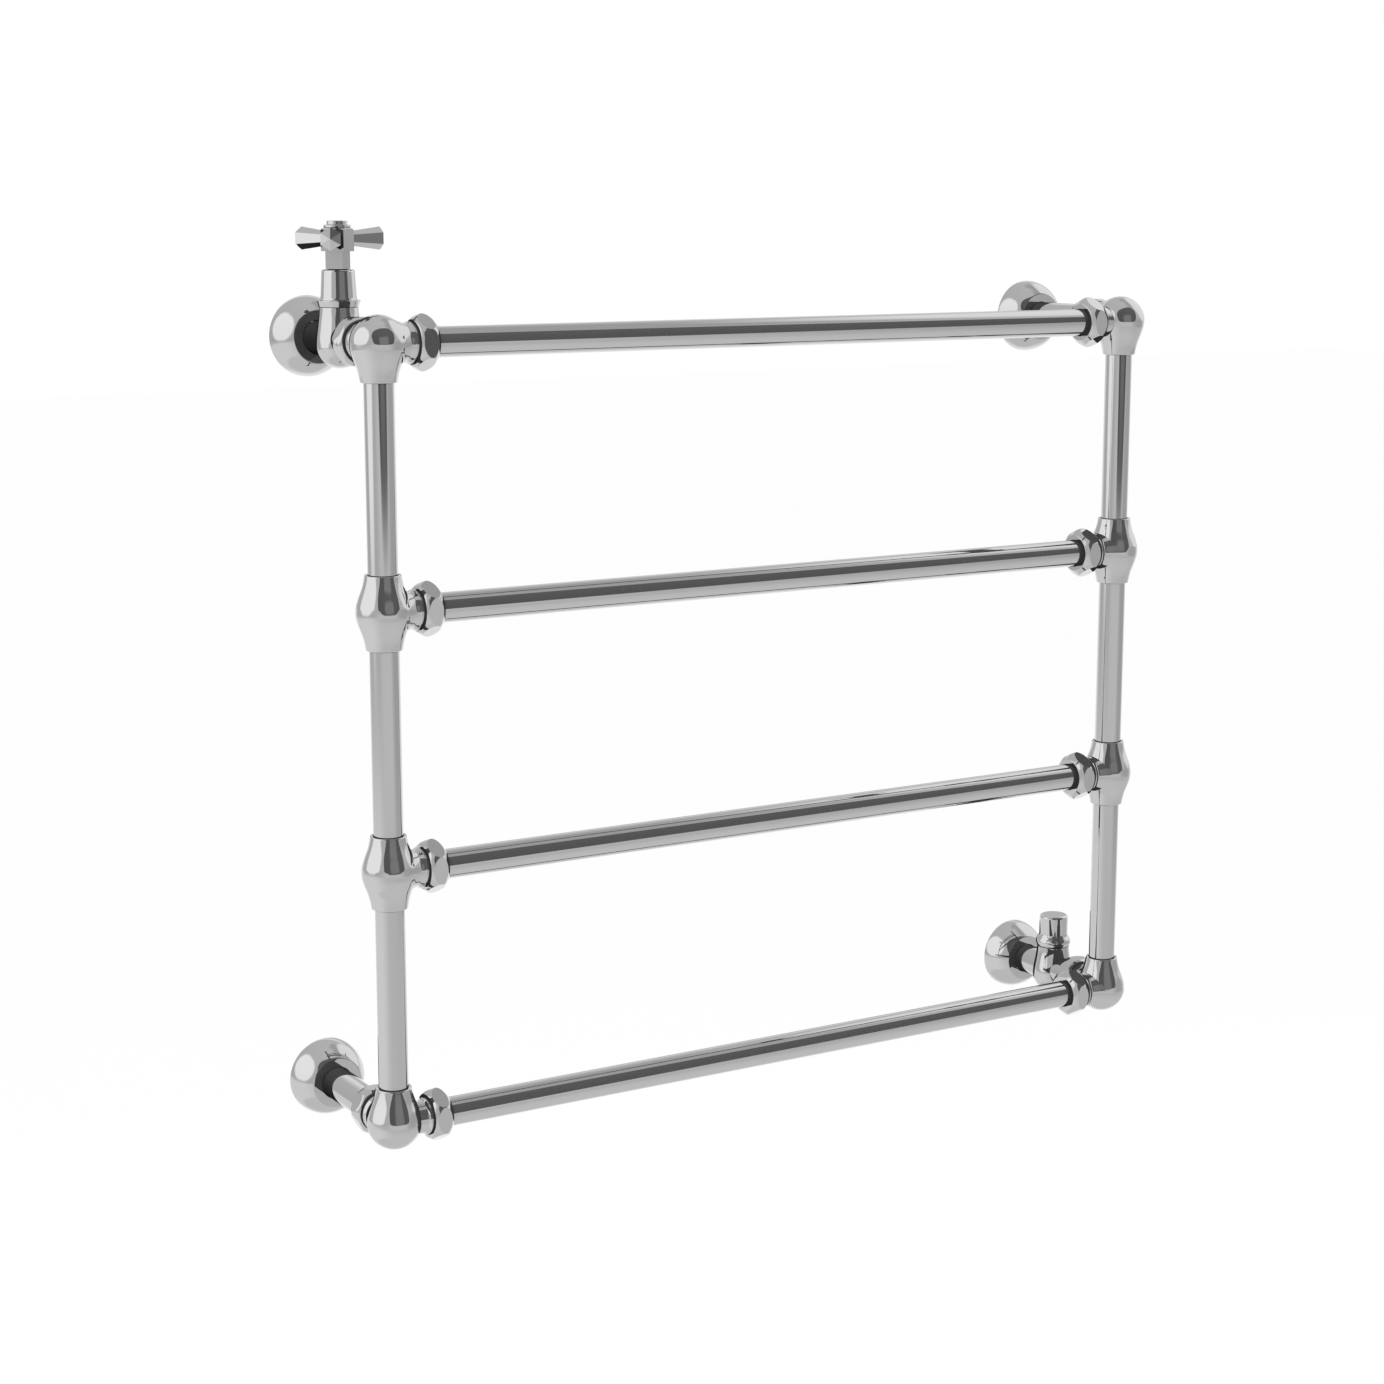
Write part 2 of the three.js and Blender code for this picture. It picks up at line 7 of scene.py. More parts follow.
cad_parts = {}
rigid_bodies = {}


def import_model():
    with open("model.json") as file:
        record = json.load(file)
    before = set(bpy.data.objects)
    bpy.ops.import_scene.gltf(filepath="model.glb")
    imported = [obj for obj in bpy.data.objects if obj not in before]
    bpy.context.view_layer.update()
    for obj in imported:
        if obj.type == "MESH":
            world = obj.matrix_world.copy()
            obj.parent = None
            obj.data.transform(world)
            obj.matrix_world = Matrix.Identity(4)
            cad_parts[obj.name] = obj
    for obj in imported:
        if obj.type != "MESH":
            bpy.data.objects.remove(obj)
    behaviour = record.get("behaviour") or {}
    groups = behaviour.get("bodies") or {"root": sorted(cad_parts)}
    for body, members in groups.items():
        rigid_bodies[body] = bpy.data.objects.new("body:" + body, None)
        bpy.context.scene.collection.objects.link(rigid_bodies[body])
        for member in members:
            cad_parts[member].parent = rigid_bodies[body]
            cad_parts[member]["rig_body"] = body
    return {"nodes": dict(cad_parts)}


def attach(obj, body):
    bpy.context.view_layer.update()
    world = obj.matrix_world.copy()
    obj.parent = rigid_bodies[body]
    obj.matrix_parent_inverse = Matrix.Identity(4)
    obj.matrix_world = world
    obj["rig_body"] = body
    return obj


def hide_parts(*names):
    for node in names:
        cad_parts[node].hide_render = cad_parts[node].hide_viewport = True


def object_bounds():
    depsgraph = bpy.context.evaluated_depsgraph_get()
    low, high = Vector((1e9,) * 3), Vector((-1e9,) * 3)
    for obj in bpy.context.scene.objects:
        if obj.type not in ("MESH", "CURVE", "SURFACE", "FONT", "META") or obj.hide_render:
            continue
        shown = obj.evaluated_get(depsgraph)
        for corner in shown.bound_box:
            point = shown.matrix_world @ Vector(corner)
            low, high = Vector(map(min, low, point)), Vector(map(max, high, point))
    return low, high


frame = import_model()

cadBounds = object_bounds()
mm = 0.001

layout = {
    "halfWidth": 387, "railPitch": 220, "wallReach": 146, "valveOffset": 76.5,
    "tubeRadius": 12.7, "tubeBore": 11.2,
}
railHeights = {"top": 330, "upper": 110, "lower": -110, "bottom": -330}
sides = {"left": -1, "right": 1}
rootBody = "radiator_body"


# small tools

def clearSelection():
    if bpy.context.object and bpy.context.object.mode != "OBJECT":
        bpy.ops.object.mode_set(mode="OBJECT")
    bpy.ops.object.select_all(action="DESELECT")


def pick(piece):
    clearSelection()
    piece.select_set(True)
    bpy.context.view_layer.objects.active = piece


def startEditing(piece, what="VERT"):
    pick(piece)
    bpy.ops.object.mode_set(mode="EDIT")
    bpy.ops.mesh.select_mode(type=what)
    bpy.ops.mesh.select_all(action="SELECT")


def stopEditing():
    bpy.ops.object.mode_set(mode="OBJECT")


# a half outline of (radius, height) points in millimetres, spun round Z into a closed piece
def spun(name, outline, steps=96, closed=False):
    clearSelection()
    radius, height = outline[0]
    bpy.ops.mesh.primitive_plane_add(size=mm, location=(radius * mm, 0, height * mm))
    piece = bpy.context.object
    piece.name = name
    bpy.ops.object.transform_apply()
    startEditing(piece)
    bpy.ops.mesh.merge(type="CENTER")
    for nextRadius, nextHeight in outline[1:] + outline[:1] * closed:
        move = ((nextRadius - radius) * mm, 0, (nextHeight - height) * mm)
        bpy.ops.mesh.extrude_vertices_move(TRANSFORM_OT_translate={"value": move})
        radius, height = nextRadius, nextHeight
    bpy.ops.mesh.select_all(action="SELECT")
    bpy.ops.mesh.spin(steps=steps, angle=2 * pi, center=(0, 0, 0), axis=(0, 0, 1))
    bpy.ops.mesh.select_all(action="SELECT")
    bpy.ops.mesh.remove_doubles(threshold=0.002 * mm)
    bpy.ops.mesh.normals_make_consistent(inside=False)
    stopEditing()
    return piece


# points of an arc, by elevation in degrees
def arc(centre, radius, start, end, count):
    angles = [radians(start + (end - start) * i / count) for i in range(count + 1)]
    return [(centre[0] + radius * cos(a), centre[1] + radius * sin(a)) for a in angles]


# smooth line through a few given points
def flowing(points, count=6):
    ends = [points[0]] + list(points) + [points[-1]]
    line = []
    for a, b, c, d in zip(ends, ends[1:], ends[2:], ends[3:]):
        for i in range(count):
            t = i / count
            line.append(tuple(
                0.5 * (2 * q + (r - p) * t + (2 * p - 5 * q + 4 * r - s) * t * t
                       + (3 * q - p - 3 * r + s) * t ** 3)
                for p, q, r, s in zip(a, b, c, d)))
    return line + [points[-1]]


# a corner of an outline turned into a small round
def rounded(before, corner, after, radius, count=4):
    a, b, c = Vector(before), Vector(corner), Vector(after)
    start = b + (a - b).normalized() * radius
    end = b + (c - b).normalized() * radius
    line = []
    for i in range(count + 1):
        t = i / count
        line.append(tuple(start * (1 - t) ** 2 + b * 2 * t * (1 - t) + end * t * t))
    return line


def softOutline(points, radius, closed=False, count=4):
    size = len(points)
    line = []
    for i, point in enumerate(points):
        if not closed and i in (0, size - 1):
            line.append(point)
            continue
        before, after = points[i - 1], points[(i + 1) % size]
        reach = min(radius, 0.45 * hypot(before[0] - point[0], before[1] - point[1]),
                    0.45 * hypot(after[0] - point[0], after[1] - point[1]))
        line += rounded(before, point, after, reach, count)
    return line


def applyModifier(piece, kind, **values):
    pick(piece)
    modifier = piece.modifiers.new(kind.lower(), kind)
    for key, value in values.items():
        setattr(modifier, key, value)
    bpy.ops.object.modifier_apply(modifier=modifier.name)


def bevelled(piece, width, segments=3, angle=25):
    applyModifier(piece, "BEVEL", width=width * mm, segments=segments, limit_method="ANGLE",
                  angle_limit=radians(angle), use_clamp_overlap=True)


def cutWith(piece, tool, operation="DIFFERENCE"):
    applyModifier(piece, "BOOLEAN", object=tool, operation=operation, solver="EXACT")
    bpy.data.objects.remove(tool)


def joined(name, pieces):
    pick(pieces[0])
    for piece in pieces[1:]:
        piece.select_set(True)
    bpy.ops.object.join()
    bpy.context.object.name = name
    return bpy.context.object


def smooth(piece, angle=32, weighted=True):
    pick(piece)
    bpy.ops.object.shade_smooth_by_angle(angle=radians(angle))
    if weighted:
        applyModifier(piece, "WEIGHTED_NORMAL", mode="FACE_AREA", weight=50, keep_sharp=True)


# turns that lay a piece made along Z onto another axis
def facing(direction):
    turns = {"+X": (0, pi / 2, 0), "-X": (0, -pi / 2, 0), "+Y": (-pi / 2, 0, 0),
             "-Y": (pi / 2, 0, 0), "+Z": (0, 0, 0), "-Z": (pi, 0, 0)}
    return Euler(turns[direction]).to_matrix().to_4x4()


def at(x, y, z):
    return Matrix.Translation((x * mm, y * mm, z * mm))


def moved(piece, matrix):
    piece.data.transform(matrix)
    piece.data.update()
    return piece


# a finished copy in its place, riding on its body and standing for its CAD node
def placed(source, name, matrix, node, material, body=rootBody):
    piece = source.copy()
    piece.data = source.data.copy()
    piece.name = name
    bpy.context.collection.objects.link(piece)
    moved(piece, matrix)
    piece.data.materials.clear()
    piece.data.materials.append(material)
    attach(piece, body)
    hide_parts(node)
    return piece


# materials

def newMaterial(name):
    material = bpy.data.materials.new(name)
    material.use_nodes = True
    tree = material.node_tree
    return material, tree, tree.nodes["Principled BSDF"]


# faint change of roughness and a bump far finer than the pieces
def addSurface(tree, shader, scale, low, high, bump, stretch=(1, 1, 1)):
    where = tree.nodes.new("ShaderNodeTexCoord")
    mapping = tree.nodes.new("ShaderNodeMapping")
    mapping.inputs["Scale"].default_value = stretch
    noise = tree.nodes.new("ShaderNodeTexNoise")
    noise.inputs["Scale"].default_value = scale
    noise.inputs["Detail"].default_value = 3
    spread = tree.nodes.new("ShaderNodeMapRange")
    spread.inputs["To Min"].default_value = low
    spread.inputs["To Max"].default_value = high
    relief = tree.nodes.new("ShaderNodeBump")
    relief.inputs["Strength"].default_value = bump
    relief.inputs["Distance"].default_value = 0.02 * mm
    tree.links.new(where.outputs["Object"], mapping.inputs["Vector"])
    tree.links.new(mapping.outputs["Vector"], noise.inputs["Vector"])
    tree.links.new(noise.outputs["Fac"], spread.inputs["Value"])
    tree.links.new(spread.outputs["Result"], shader.inputs["Roughness"])
    tree.links.new(noise.outputs["Fac"], relief.inputs["Height"])
    tree.links.new(relief.outputs["Normal"], shader.inputs["Normal"])


finishes = {
    "polishedChrome": {"colour": (0.632, 0.632, 0.632), "metal": 0.92, "scale": 160, "rough": (0.01, 0.02),
                       "bump": 0.006},
    "drawnTube": {"colour": (0.632, 0.632, 0.632), "metal": 0.92, "scale": 90, "rough": (0.012, 0.024),
                  "bump": 0.01},
    "machinedBrass": {"colour": (0.74, 0.53, 0.25), "metal": 1, "scale": 700, "rough": (0.22, 0.38),
                      "bump": 0.2},
    "zincSteel": {"colour": (0.56, 0.57, 0.58), "metal": 1, "scale": 500, "rough": (0.28, 0.42),
                  "bump": 0.2},
}


def metalMaterial(name, stretch=(1, 1, 1)):
    values = finishes[name]
    material, tree, shader = newMaterial(name)
    shader.inputs["Base Color"].default_value = (*values["colour"], 1)
    shader.inputs["Metallic"].default_value = values["metal"]
    addSurface(tree, shader, values["scale"], *values["rough"], values["bump"], stretch)
    return material


def rubberMaterial():
    material, tree, shader = newMaterial("blackRubber")
    shader.inputs["Base Color"].default_value = (0.02, 0.02, 0.02, 1)
    addSurface(tree, shader, 900, 0.62, 0.8, 0.3)
    return material


chrome = metalMaterial("polishedChrome")
tubeChrome = metalMaterial("drawnTube", stretch=(0.1, 1, 0.1))
brass = metalMaterial("machinedBrass")
steel = metalMaterial("zincSteel")
rubber = rubberMaterial()
print("materials done")


# camera

cameraSettings = {
    "place": (-1296.9, -2148.6, 446.7), "yaw": 31.07, "pitch": 10.46, "lens": 69.73,
}


def addCamera():
    data = bpy.data.cameras.new("camera")
    data.lens = cameraSettings["lens"]
    data.sensor_width = 36
    camera = bpy.data.objects.new("camera", data)
    bpy.context.collection.objects.link(camera)
    camera.location = [v * mm for v in cameraSettings["place"]]
    camera.rotation_euler = (radians(90 - cameraSettings["pitch"]), 0, -radians(cameraSettings["yaw"]))
    bpy.context.scene.camera = camera


# ball castings

ball = {
    "radius": 23.5, "mouthRadius": 15.6, "mouthReach": 31.5, "bore": 13.0, "socketFloor": 14.5,
    "flare": [(15.95, 28), (16.75, 24), (17.85, 20), (19.3, 16), (20.85, 12), (22.2, 7.8), (23.1, 4.2)],
    "portFlare": [(20.7, 11.1), (19.25, 13.8), (18.0, 16.2), (17.1, 18.7), (16.4, 21.2), (16.1, 23.4)],
    "portFoot": 8, "neck": 16.05, "neckEnd": 25.6, "wallNeck": 14.2,
    "shoulder": 17.3, "shoulderFoot": 26.6, "shoulderReach": 27.7,
    "thread": 16.3, "threadReach": 38, "seat": 20, "steps": 128,
}


# mouth of a casting, from its socket's floor out and back over the flare to the ball
def mouthOutline():
    bore, reach, rim = ball["bore"], ball["mouthReach"], ball["mouthRadius"]
    lip = rounded((bore, reach), (rim - 0.1, reach), (rim, reach - 1.7), 1.2, 6)
    flare = flowing([lip[-1]] + ball["flare"] + [(ball["radius"], 0)], 4)[:-4]
    inside = [(0, ball["socketFloor"]), (bore, ball["socketFloor"]), (bore, reach)]
    return [(r, -z) for r, z in inside + lip[1:] + flare[1:]]


# port behind a union nut; the one to the wall has a plain narrow neck
def makePort(flared):
    foot, neck = ball["portFoot"], ball["neck"]
    shoulder, low = ball["shoulder"], ball["shoulderFoot"]
    reach, thread = ball["shoulderReach"], ball["thread"]
    if flared:
        outline = [(0, foot), (ball["portFlare"][0][0], foot)]
        outline += flowing(ball["portFlare"] + [(neck + 0.75, ball["neckEnd"]), (shoulder, low)], 5)
        outline += rounded((shoulder, low), (shoulder, reach), (thread, reach), 0.35, 3)
    else:
        narrow = ball["wallNeck"]
        outline = [(0, foot), (narrow, foot), (narrow, reach - 2.4), (narrow + 0.4, reach - 1.4)]
    outline += [(thread, reach), (thread, ball["threadReach"]), (ball["bore"], ball["threadReach"]),
                (ball["bore"], ball["seat"]), (0, ball["seat"])]
    return spun("port", outline, ball["steps"])


def makeTee():
    lower = mouthOutline()
    outline = lower + [(ball["radius"], 0)] + [(r, -z) for r, z in reversed(lower)]
    body = spun("teeBody", outline, ball["steps"])
    piece = joined("tee", [body, moved(makePort(True), facing("+X"))])
    smooth(piece)
    return piece


def makeCorner():
    dome = arc((0, 0), ball["radius"], 0, 90, 40)[:-1]
    body = spun("cornerBody", mouthOutline() + dome + [(0, ball["radius"])], ball["steps"])
    ports = [moved(makePort(True), facing("+X")), moved(makePort(False), facing("+Y"))]
    piece = joined("corner", [body] + ports)
    smooth(piece)
    return piece


# union nuts

nut = {
    "from": 30.1, "length": 18.3, "railCrest": 23.6, "wallCrest": 22.2,
    "railFlat": 20.4, "wallFlat": 19.9, "thread": 16.6,
    "railHole": 13.0, "wallHole": 14.5, "steps": 144, "edge": 0.35, "turn": 30,
}


def makeNut(name, crest, low, hole):
    start, end = nut["from"], nut["from"] + nut["length"]
    outside = flowing([
        (low - 1.2, start + 0.4), (low + 0.5, start + 2.6), (crest - 0.9, start + 5.6),
        (crest, start + 9.1), (crest - 1.0, start + 12.4), (low, start + 15.2), (low - 2.7, end - 0.5)], 6)
    rim = rounded(outside[-1], (low - 3.1, end), (hole, end), 0.6, 4)
    mouth = rounded((nut["thread"], start), (low - 1.75, start), outside[0], 0.5, 4)
    inside = [(hole, end), (hole, end - 4), (nut["thread"], end - 7), (nut["thread"], start)]
    piece = spun(name, mouth + outside[1:-1] + rim + inside, nut["steps"], closed=True)
    clearSelection()
    bpy.ops.mesh.primitive_cylinder_add(vertices=6, radius=low / cos(pi / 6) * mm, depth=60 * mm,
                                        location=(0, 0, (start + end) / 2 * mm),
                                        rotation=(0, 0, radians(nut["turn"])))
    prism = bpy.context.object
    bpy.ops.object.transform_apply()
    cutWith(piece, prism, "INTERSECT")
    bevelled(piece, nut["edge"], 2, 13)
    smooth(piece, 24)
    return piece


# tubes

def makeTube(name, length, steps=96):
    outer, inner = layout["tubeRadius"], layout["tubeBore"]
    half = length / 2
    outline = softOutline([(inner, -half), (outer, -half), (outer, half), (inner, half)], 0.4, True, 2)
    piece = spun(name, outline, steps, closed=True)
    smooth(piece)
    return piece


# wall fixings

flange = {
    "radius": 34.5, "depth": 26, "wall": 2, "hole": 14.6, "steps": 144, "edge": 0.5,
}


def makeFlange():
    radius, depth, wall = flange["radius"], flange["depth"], flange["wall"]
    front = degrees(asin(depth / radius))
    ceiling = degrees(asin((depth - wall) / (radius - wall)))
    dome = arc((0, 0), radius, 0, front, 26)
    under = arc((0, 0), radius - wall, ceiling, 0, 20)
    edge = rounded(dome[-2], dome[-1], (flange["hole"], depth), flange["edge"], 4)
    lip = rounded(dome[-1], (flange["hole"], depth), (flange["hole"], depth - wall), 0.3, 3)
    foot = rounded(under[-1], (radius, 0), dome[1], 0.3, 3)
    outline = foot[2:] + dome[1:-1] + edge + lip + [(flange["hole"], depth - wall)] + under
    piece = spun("flange", outline, flange["steps"], closed=True)
    smooth(piece)
    return piece


bracket = {
    "plate": 26, "thickness": 5, "boss": 17.5, "bossLength": 9, "pipe": 14.2, "bore": 12.2,
    "collar": 16.3, "collarLength": 3.5, "screwCircle": 21.8, "screwHole": 2.3, "screws": 3, "steps": 96,
}


def makeBracket(name, length, collared):
    pipe, bore = bracket["pipe"], bracket["bore"]
    end = [(pipe, length)]
    if collared:
        neck = length - bracket["collarLength"]
        end = [(pipe, neck), (bracket["collar"], neck), (bracket["collar"], length)]
    outline = softOutline([
        (bore, 0), (bracket["plate"], 0), (bracket["plate"], bracket["thickness"]),
        (bracket["boss"], bracket["thickness"]), (bracket["boss"], bracket["bossLength"]),
        (pipe, bracket["bossLength"]), *end, (bore, length)], 0.5, True, 2)
    piece = spun(name, outline, bracket["steps"], closed=True)
    for i in range(bracket["screws"]):
        turn = pi * (1 / 2 + 2 * i / bracket["screws"])
        clearSelection()
        bpy.ops.mesh.primitive_cylinder_add(
            vertices=32, radius=bracket["screwHole"] * mm, depth=20 * mm,
            location=(bracket["screwCircle"] * cos(turn) * mm, bracket["screwCircle"] * sin(turn) * mm, 0))
        cutWith(piece, bpy.context.object)
    smooth(piece)
    return piece


# valves

valve = {
    "belly": 19.9, "bellyHeight": -4, "top": 16.2, "crossTop": 26.8, "shieldTop": 24.7,
    "tail": 38.2, "pipe": 14.2, "collar": 16.3, "collarLength": 3.5,
    "threadBore": 11.5, "threadLength": 12, "chamber": 9.5, "steps": 128,
}


def makeValveBody(name, bodyTop):
    belly, top = valve["belly"], valve["top"]
    bowl = arc((0, valve["bellyHeight"]), belly, -90, -8, 24)[1:]
    inner = valve["threadBore"]
    floor = bodyTop - valve["threadLength"]
    outline = [(0, valve["bellyHeight"] - belly)] + bowl
    outline += flowing([bowl[-1], (belly - 0.35, 0.5), (top + 1.55, bodyTop - 13.5),
                        (top + 0.5, bodyTop - 6.5), (top, bodyTop - 0.5)], 5)[1:]
    outline += rounded(outline[-1], (valve["top"], bodyTop), (inner, bodyTop), 0.5, 3)
    chamber = valve["chamber"]
    outline += [(inner, bodyTop), (inner, floor), (chamber, floor), (chamber, -1), (0, -1)]
    body = spun(name, outline, valve["steps"])
    neck = valve["tail"] - valve["collarLength"]
    tail = spun("tail", softOutline([
        (0, 10), (valve["pipe"], 10), (valve["pipe"], neck), (valve["collar"], neck),
        (valve["collar"], valve["tail"]), (10, valve["tail"]), (10, 20), (0, 20)], 0.3, False, 2), 96)
    moved(tail, facing("-Y"))
    piece = joined(name, [body, tail])
    smooth(piece)
    return piece


bonnet = {
    "foot": 27.1, "edge": 18.2, "edgeLift": 4.9, "collar": 7.6, "shell": 15.1, "shoulder": 13.9,
    "top": 57.9, "crown": 2.3, "hole": 9.2, "wall": 1.5, "steps": 128,
}


def makeBonnet():
    foot, edge, top = bonnet["foot"], bonnet["edge"], bonnet["top"]
    shell, shoulder, wall = bonnet["shell"], bonnet["shoulder"], bonnet["wall"]
    lift = foot + bonnet["edgeLift"]
    saucer = [(edge - 1.6, foot), (edge - 0.25, lift - 0.4), (edge, lift), (edge - 0.3, lift + 0.5)]
    side = flowing([
        (edge - 0.3, lift + 0.5), (shell + 0.6, foot + 5.5), (shell, foot + bonnet["collar"])], 4)
    curve = bonnet["crown"]
    crown = arc((shoulder - curve, top - curve), curve, 3, 90, 8)
    inside = [(bonnet["hole"], top), (bonnet["hole"], top - wall), (shoulder - wall - 0.6, top - wall),
              (shell - wall, foot + bonnet["collar"]), (shell - wall, foot)]
    outline = saucer[:-1] + side + crown + inside
    piece = spun("bonnet", outline, bonnet["steps"], closed=True)
    smooth(piece)
    return piece


handle = {
    "neckFlats": 17.8, "neckFoot": 58.2, "hubFlats": 24, "hubFoot": 72.7, "hubTop": 91.4, "chamfer": 1.5,
    "arms": 3, "armHeight": 83.1, "armRoot": 4.5, "armTip": 9.6, "armReach": 37.8, "armPoint": 2.6,
    "bore": 4.8, "boreTop": 82.7, "screwHole": 2.3, "recess": 6.1, "recessFloor": 84.7, "edge": 0.45,
    "standing": -2,
}


def hexPrism(name, flats, foot, top):
    clearSelection()
    bpy.ops.mesh.primitive_cylinder_add(
        vertices=6, radius=flats / 2 / cos(pi / 6) * mm, depth=(top - foot) * mm,
        location=(0, 0, (foot + top) / 2 * mm))
    piece = bpy.context.object
    piece.name = name
    bpy.ops.object.transform_apply()
    return piece


# six-sided arm that flares to a low point, turned round the spindle
def makeArm(turn):
    root, tip, reach = handle["armRoot"], handle["armTip"], handle["armReach"]
    arm = spun("arm", [(0, 0), (root, 0), (tip, reach), (0, reach + handle["armPoint"])], 6)
    moved(arm, facing("+X"))
    return moved(arm, at(0, 0, handle["armHeight"]) @ Matrix.Rotation(turn, 4, "Z"))


def makeHandle():
    foot, hubTop = handle["hubFoot"], handle["hubTop"]
    corner = handle["hubFlats"] / 2 / cos(pi / 6)
    hub = hexPrism("hub", handle["hubFlats"], foot, hubTop)
    turnedHub = spun("turnedHub", [
        (0, foot - 1), (corner + 1, foot - 1), (corner + 1, hubTop - handle["chamfer"] - 1),
        (corner - handle["chamfer"], hubTop), (0, hubTop)], 96)
    cutWith(hub, turnedHub, "INTERSECT")
    cutWith(hub, hexPrism("neck", handle["neckFlats"], handle["neckFoot"], foot + 1), "UNION")
    for i in range(handle["arms"]):
        cutWith(hub, makeArm(2 * pi * i / handle["arms"]), "UNION")
    top, bore, recess, hole = hubTop + 1, handle["bore"], handle["recess"], handle["screwHole"]
    step, floor = handle["boreTop"], handle["recessFloor"]
    cutWith(hub, spun("bore", [
        (0, 50), (bore, 50), (bore, step), (hole, step), (hole, floor), (recess, floor),
        (recess, top), (0, top)], 64))
    bevelled(hub, handle["edge"], 3, 12)
    smooth(hub, 30)
    return hub


cap = {"foot": 91.7, "ring": 11.3, "ringHeight": 2.5, "button": 8.6, "buttonHeight": 3.4, "spigot": 5.8}


def makeHandleCap():
    foot = cap["foot"]
    ringTop = foot + cap["ringHeight"]
    top = ringTop + cap["buttonHeight"]
    outline = softOutline([
        (0, foot - 3.6), (cap["spigot"], foot - 3.6), (cap["spigot"], foot), (cap["ring"], foot),
        (cap["ring"], ringTop), (cap["button"], ringTop), (cap["button"], top), (0, top + 0.2)],
        0.9, False, 5)
    piece = spun("handleCap", outline, 96)
    smooth(piece)
    return piece


shieldCap = {
    "foot": 25, "bead": 17.5, "radius": 14.3, "top": 57, "wall": 1.6, "round": 2.8,
}


def makeShieldCap():
    foot, bead, radius = shieldCap["foot"], shieldCap["bead"], shieldCap["radius"]
    top, wall, curve = shieldCap["top"], shieldCap["wall"], shieldCap["round"]
    inner = radius - wall
    roll = flowing([(bead - 1.5, foot + 0.2), (bead - 0.4, foot + 2), (bead, foot + 4.3),
                    (bead - 0.45, foot + 6.8), (bead - 1.7, foot + 9), (radius + 0.45, foot + 10.6),
                    (radius, foot + 12.6)], 5)
    crown = arc((radius - curve, top - curve), curve, 0, 90, 10)
    outline = [(inner, foot), (bead - 2, foot)] + roll + crown + [
        (0, top), (0, top - wall), (inner - 1, top - wall), (inner, top - wall - 1)]
    piece = spun("shieldCap", outline, 128, closed=True)
    smooth(piece)
    return piece


vent = {"pin": 1.9, "thread": 4, "head": 6, "foot": 12.5, "seat": 22.5, "face": 25}


def makeVent():
    plug = spun("ventPlug", softOutline([
        (vent["pin"] + 0.4, vent["foot"]), (vent["thread"], vent["foot"]), (vent["thread"], vent["seat"]),
        (vent["head"], vent["seat"]), (vent["head"], vent["face"]), (vent["pin"] + 0.4, vent["face"])],
        0.5, True, 3), 64, closed=True)
    smooth(plug)
    screw = spun("ventScrew", softOutline([
        (0, vent["foot"]), (vent["pin"], vent["foot"] + 1.5), (vent["pin"], vent["face"] - 0.8),
        (0, vent["face"] - 0.8)], 0.2, False, 3), 48)
    clearSelection()
    bpy.ops.mesh.primitive_cube_add(size=1, location=(0, 0, (vent["face"] - 0.8) * mm))
    slot = bpy.context.object
    slot.scale = (0.8 * mm, 6 * mm, 2 * mm)
    bpy.ops.object.transform_apply()
    cutWith(screw, slot)
    smooth(screw)
    return plug, screw


# everything in its place

